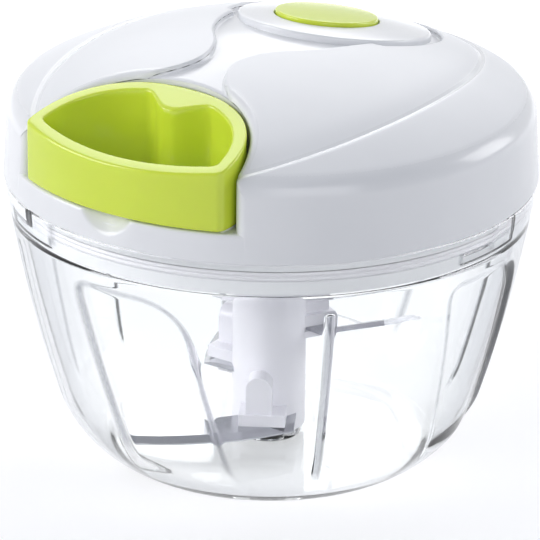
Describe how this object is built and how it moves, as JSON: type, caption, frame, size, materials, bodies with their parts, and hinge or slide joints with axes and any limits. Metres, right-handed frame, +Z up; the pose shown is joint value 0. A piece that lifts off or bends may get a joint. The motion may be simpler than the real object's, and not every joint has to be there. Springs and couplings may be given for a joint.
{
  "type": "pull-string food chopper",
  "caption": "Round hand chopper with a clear bowl, a stacked blade set on a hub, and a domed white lid whose lime handle pulls a cord that spins the blades.",
  "frame": {"origin": "centre of the bowl's flat base, on the surface that it rests on", "axes": "+Z up along the axis of the blades, -Y the way the handle is pulled, +X to the right as seen from the handle's side"},
  "size_m": [0.125, 0.125, 0.1033],
  "materials": {
    "clear_plastic": "clear moulded plastic, glossy",
    "white_plastic": "white moulded plastic, satin gloss",
    "lime_plastic": "lime green moulded plastic, glossy",
    "blade_steel": "stainless sheet, ground edge",
    "steel": "turned stainless steel",
    "spring_steel": "blued spring strip",
    "silicone": "translucent white silicone",
    "acetal": "natural acetal, matte",
    "dark_acetal": "dark acetal, matte",
    "cord": "white braided nylon cord"
  },
  "bodies": {
    "bowl": {"bowl": "clear_plastic", "pivot_pin": "steel"},
    "blades": {"blade_hub": "white_plastic", "lower_blade": "blade_steel", "middle_blade": "blade_steel", "upper_blade": "blade_steel"},
    "seal": {"seal_ring": "silicone"},
    "lid": {"base_plate": "white_plastic", "top_cover": "white_plastic", "top_inlay": "lime_plastic", "lid_screws": "steel", "reel_spindle": "steel", "recoil_spring": "spring_steel", "cord_eyelet": "steel", "thrust_washer": "acetal", "spindle_clip": "spring_steel"},
    "reel": {"cord_reel": "acetal", "spring_cover": "acetal", "cord_winding": "cord", "pawl_pins": "steel"},
    "pawl_a": {"pawl_a": "dark_acetal"},
    "pawl_b": {"pawl_b": "dark_acetal"},
    "drive": {"clutch_drive": "acetal"},
    "handle": {"pull_handle": "lime_plastic", "pull_cord": "cord", "cord_knot": "cord"}
  },
  "joints": [
    {"name": "lid_lift", "type": "slide", "parent": "bowl", "child": "seal", "axis": [0, 0, 1], "range_m": [0, 0.12]},
    {"name": "lid_twist", "type": "hinge", "parent": "seal", "child": "lid", "pos_m": [0, 0, 0.0684], "axis": [0, 0, 1], "range_deg": [-10, 0]},
    {"name": "handle_pull", "type": "slide", "parent": "lid", "child": "handle", "axis": [0, -1, 0], "range_m": [0, 0.36], "stiffness_N_per_m": 12, "springref_m": -0.12, "deforming": ["pull_cord"]},
    {"name": "reel_spin", "type": "hinge", "parent": "lid", "child": "reel", "pos_m": [0, 0, 0.0764], "axis": [0, 0, 1], "range_deg": [0, 1220], "deforming": ["recoil_spring"]},
    {"name": "pawl_a_swing", "type": "hinge", "parent": "reel", "child": "pawl_a", "pos_m": [0.01, 0, 0.0735], "axis": [0, 0, 1], "range_deg": [0, 18]},
    {"name": "pawl_b_swing", "type": "hinge", "parent": "reel", "child": "pawl_b", "pos_m": [-0.01, 0, 0.0735], "axis": [0, 0, 1], "range_deg": [0, 18]},
    {"name": "drive_spin", "type": "hinge", "parent": "lid", "child": "drive", "pos_m": [0, 0, 0.07], "axis": [0, 0, 1], "range_deg": [0, 1220]},
    {"name": "blade_spin", "type": "hinge", "parent": "bowl", "child": "blades", "pos_m": [0, 0, 0.005], "axis": [0, 0, 1], "range_deg": [0, 1220]}
  ],
  "couplings": [
    {"joint": "reel_spin", "follows": "handle_pull", "rad_per_m": 58.824},
    {"joint": "drive_spin", "follows": "handle_pull", "rad_per_m": 58.824},
    {"joint": "blade_spin", "follows": "handle_pull", "rad_per_m": 58.824}
  ]
}
